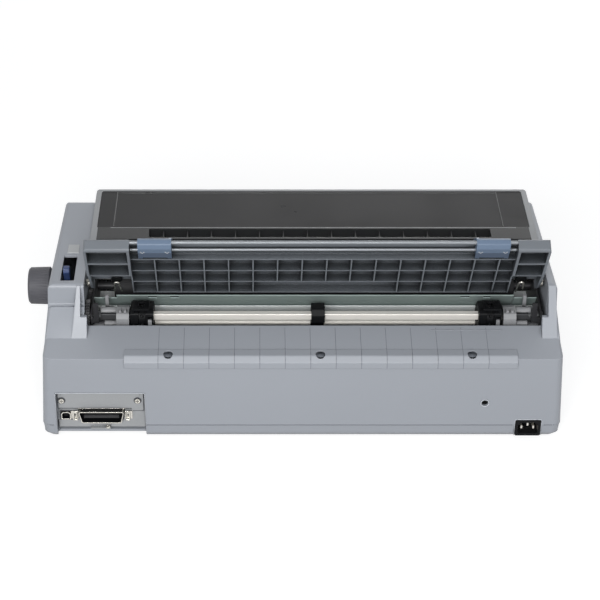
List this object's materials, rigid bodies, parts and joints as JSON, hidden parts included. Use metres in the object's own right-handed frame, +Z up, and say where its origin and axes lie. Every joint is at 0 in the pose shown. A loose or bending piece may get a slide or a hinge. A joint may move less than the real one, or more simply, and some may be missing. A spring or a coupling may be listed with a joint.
{
  "type": "dot matrix printer",
  "caption": "Wide-carriage dot matrix printer with a hinged smoked cover, a tilting ribbed paper guide, rear tractor feed, a platen knob and rear sockets.",
  "frame": {"origin": "under the middle of the whole printer, on the surface that it stands on", "axes": "+X to the printer's right, where the paper knob is; +Y to the rear, where the sockets are; +Z up"},
  "size_m": [0.639, 0.347, 0.2574],
  "materials": {
    "case": "fine satin grain",
    "guide": "satin",
    "edge_guide": "satin",
    "bracket": "satin",
    "black": "satin",
    "knob": "fine grain",
    "steel": "zinc plated",
    "shaft": "ground",
    "rubber": "ground",
    "gear": "moulded, dark",
    "dark_steel": "blackened",
    "brass": "turned",
    "board": "solder mask",
    "motor": "satin black",
    "window": "smoked, glossy",
    "cover": "satin",
    "lever": "satin blue",
    "plate": "satin",
    "head": "cast",
    "belt": "matt",
    "button": "satin"
  },
  "bodies": {
    "printer_body": {"lower_case": "case", "upper_case": "case", "rubber_feet": "rubber", "base_pan": "steel", "interface_plate": "steel", "slot_cover": "steel", "interface_screws": "steel", "parallel_port": "steel", "usb_port": "steel", "power_inlet": "black", "frame_right": "dark_steel", "frame_left": "dark_steel", "main_board": "board", "power_supply": "steel", "feed_motor": "motor", "guide_shaft": "shaft", "bracket_right": "bracket", "bracket_left": "bracket", "upper_paper_plate": "plate", "lower_paper_plate": "steel", "carriage_shaft": "shaft", "carriage_rail": "steel", "carriage_motor": "motor", "timing_belt": "belt", "ribbon_cartridge": "black"},
    "platen": {"platen_roller": "rubber", "platen_shaft": "dark_steel", "platen_gear": "gear", "platen_knob": "knob"},
    "motor_pinion": {"motor_pinion": "brass"},
    "motor_idler": {"motor_idler": "gear"},
    "tractor_idler": {"tractor_idler": "gear"},
    "tractor_drive": {"drive_shaft": "shaft", "drive_gear": "gear"},
    "tractor_right": {"tractor_right": "black"},
    "tractor_left": {"tractor_left": "black"},
    "tractor_lid_right": {"tractor_lid_right": "black"},
    "tractor_lid_left": {"tractor_lid_left": "black"},
    "lock_lever_right": {"lock_lever_right": "bracket"},
    "lock_lever_left": {"lock_lever_left": "bracket"},
    "pin_wheel_right": {"pin_wheel_right": "black"},
    "pin_wheel_left": {"pin_wheel_left": "black"},
    "paper_support": {"paper_support": "black"},
    "carriage": {"carriage": "black", "print_head": "head"},
    "motor_pulley": {"motor_pulley": "gear"},
    "tension_pulley": {"tension_pulley": "gear"},
    "cover": {"cover_frame": "cover", "cover_window": "window"},
    "paper_guide": {"paper_guide": "guide", "guide_rods": "shaft"},
    "edge_guide_right": {"edge_guide_right": "edge_guide"},
    "edge_guide_left": {"edge_guide_left": "edge_guide"},
    "release_lever": {"release_lever": "lever"},
    "power_switch": {"power_switch": "black"},
    "button_pause": {"button_pause": "button"},
    "button_line_feed": {"button_line_feed": "button"},
    "button_load_eject": {"button_load_eject": "button"},
    "parallel_clip_right": {"parallel_clip_right": "steel"},
    "parallel_clip_left": {"parallel_clip_left": "steel"}
  },
  "joints": [
    {"name": "platen_turn", "type": "hinge", "parent": "printer_body", "child": "platen", "pos_m": [-0.01147, 0.0313, 0.1285], "axis": [1, 0, 0], "continuous": true},
    {"name": "motor_idler_turn", "type": "hinge", "parent": "printer_body", "child": "motor_idler", "pos_m": [0.24153, 0.01701, 0.09248], "axis": [1, 0, 0], "continuous": true},
    {"name": "motor_pinion_turn", "type": "hinge", "parent": "printer_body", "child": "motor_pinion", "pos_m": [0.24153, 0.00872, 0.07157], "axis": [1, 0, 0], "continuous": true},
    {"name": "tractor_idler_turn", "type": "hinge", "parent": "printer_body", "child": "tractor_idler", "pos_m": [0.24153, 0.06878, 0.12984], "axis": [1, 0, 0], "continuous": true},
    {"name": "tractor_drive_turn", "type": "hinge", "parent": "printer_body", "child": "tractor_drive", "pos_m": [-0.01147, 0.10125, 0.131], "axis": [1, 0, 0], "continuous": true},
    {"name": "tractor_right_slide", "type": "slide", "parent": "printer_body", "child": "tractor_right", "axis": [-1, 0, 0], "range_m": [0, 0.12]},
    {"name": "tractor_left_slide", "type": "slide", "parent": "printer_body", "child": "tractor_left", "axis": [1, 0, 0], "range_m": [0, 0.12]},
    {"name": "pin_wheel_right_turn", "type": "hinge", "parent": "tractor_right", "child": "pin_wheel_right", "pos_m": [0.17753, 0.10125, 0.131], "axis": [1, 0, 0], "continuous": true},
    {"name": "pin_wheel_left_turn", "type": "hinge", "parent": "tractor_left", "child": "pin_wheel_left", "pos_m": [-0.23347, 0.10125, 0.131], "axis": [1, 0, 0], "continuous": true},
    {"name": "tractor_lid_right_hinge", "type": "hinge", "parent": "tractor_right", "child": "tractor_lid_right", "pos_m": [0.18873, 0.1058, 0.14563], "axis": [0, 1, 0], "range_deg": [0, 90]},
    {"name": "tractor_lid_left_hinge", "type": "hinge", "parent": "tractor_left", "child": "tractor_lid_left", "pos_m": [-0.24467, 0.1058, 0.14563], "axis": [0, -1, 0], "range_deg": [0, 90]},
    {"name": "lock_lever_right_hinge", "type": "hinge", "parent": "tractor_right", "child": "lock_lever_right", "pos_m": [0.16823, 0.1111, 0.131], "axis": [1, 0, 0], "range_deg": [0, 25]},
    {"name": "lock_lever_left_hinge", "type": "hinge", "parent": "tractor_left", "child": "lock_lever_left", "pos_m": [-0.24277, 0.1111, 0.131], "axis": [1, 0, 0], "range_deg": [0, 25]},
    {"name": "paper_support_slide", "type": "slide", "parent": "printer_body", "child": "paper_support", "axis": [1, 0, 0], "range_m": [-0.06, 0.06]},
    {"name": "carriage_slide", "type": "slide", "parent": "printer_body", "child": "carriage", "axis": [1, 0, 0], "range_m": [-0.155, 0.2]},
    {"name": "motor_pulley_turn", "type": "hinge", "parent": "printer_body", "child": "motor_pulley", "pos_m": [-0.25747, -0.0507, 0.092], "axis": [0, 0, 1], "continuous": true},
    {"name": "tension_pulley_turn", "type": "hinge", "parent": "printer_body", "child": "tension_pulley", "pos_m": [0.20053, -0.0507, 0.092], "axis": [0, 0, 1], "continuous": true},
    {"name": "cover_hinge", "type": "hinge", "parent": "printer_body", "child": "cover", "pos_m": [-0.02697, 0.0593, 0.172], "axis": [-1, 0, 0], "range_deg": [0, 70]},
    {"name": "paper_guide_hinge", "type": "hinge", "parent": "printer_body", "child": "paper_guide", "pos_m": [-0.02697, 0.0809, 0.1638], "axis": [1, 0, 0], "range_deg": [-60, 0]},
    {"name": "edge_guide_right_slide", "type": "slide", "parent": "paper_guide", "child": "edge_guide_right", "axis": [1, 0, 0], "range_m": [-0.15, 0.008]},
    {"name": "edge_guide_left_slide", "type": "slide", "parent": "paper_guide", "child": "edge_guide_left", "axis": [-1, 0, 0], "range_m": [-0.15, 0.008]},
    {"name": "release_lever_tilt", "type": "hinge", "parent": "printer_body", "child": "release_lever", "pos_m": [0.25853, 0.0723, 0.15], "axis": [1, 0, 0], "range_deg": [0, 30]},
    {"name": "power_switch_rock", "type": "hinge", "parent": "printer_body", "child": "power_switch", "pos_m": [-0.27747, -0.1683, 0.048], "axis": [-1, 0, 0], "range_deg": [0, 16]},
    {"name": "button_pause_press", "type": "slide", "parent": "printer_body", "child": "button_pause", "axis": [0, 0.6402, -0.7682], "range_m": [0, 0.0015], "stiffness_N_per_m": 250, "springref_m": -0.0005},
    {"name": "button_line_feed_press", "type": "slide", "parent": "printer_body", "child": "button_line_feed", "axis": [0, 0.6402, -0.7682], "range_m": [0, 0.0015], "stiffness_N_per_m": 250, "springref_m": -0.0005},
    {"name": "button_load_eject_press", "type": "slide", "parent": "printer_body", "child": "button_load_eject", "axis": [0, 0.6402, -0.7682], "range_m": [0, 0.0015], "stiffness_N_per_m": 250, "springref_m": -0.0005},
    {"name": "parallel_clip_right_hinge", "type": "hinge", "parent": "printer_body", "child": "parallel_clip_right", "pos_m": [0.25543, 0.1621, 0.028], "axis": [0, 0, 1], "range_deg": [0, 90]},
    {"name": "parallel_clip_left_hinge", "type": "hinge", "parent": "printer_body", "child": "parallel_clip_left", "pos_m": [0.19753, 0.1621, 0.028], "axis": [0, 0, -1], "range_deg": [0, 90]}
  ],
  "couplings": [
    {"joint": "motor_idler_turn", "follows": "platen_turn", "ratio": -1.5833},
    {"joint": "motor_pinion_turn", "follows": "platen_turn", "ratio": 3.1667},
    {"joint": "tractor_idler_turn", "follows": "platen_turn", "ratio": -1.7273},
    {"joint": "tractor_drive_turn", "follows": "platen_turn", "ratio": 1.2667},
    {"joint": "pin_wheel_right_turn", "follows": "platen_turn", "ratio": 1.2667},
    {"joint": "pin_wheel_left_turn", "follows": "platen_turn", "ratio": 1.2667},
    {"joint": "motor_pulley_turn", "follows": "carriage_slide", "rad_per_m": 119.05},
    {"joint": "tension_pulley_turn", "follows": "carriage_slide", "rad_per_m": 119.05}
  ]
}
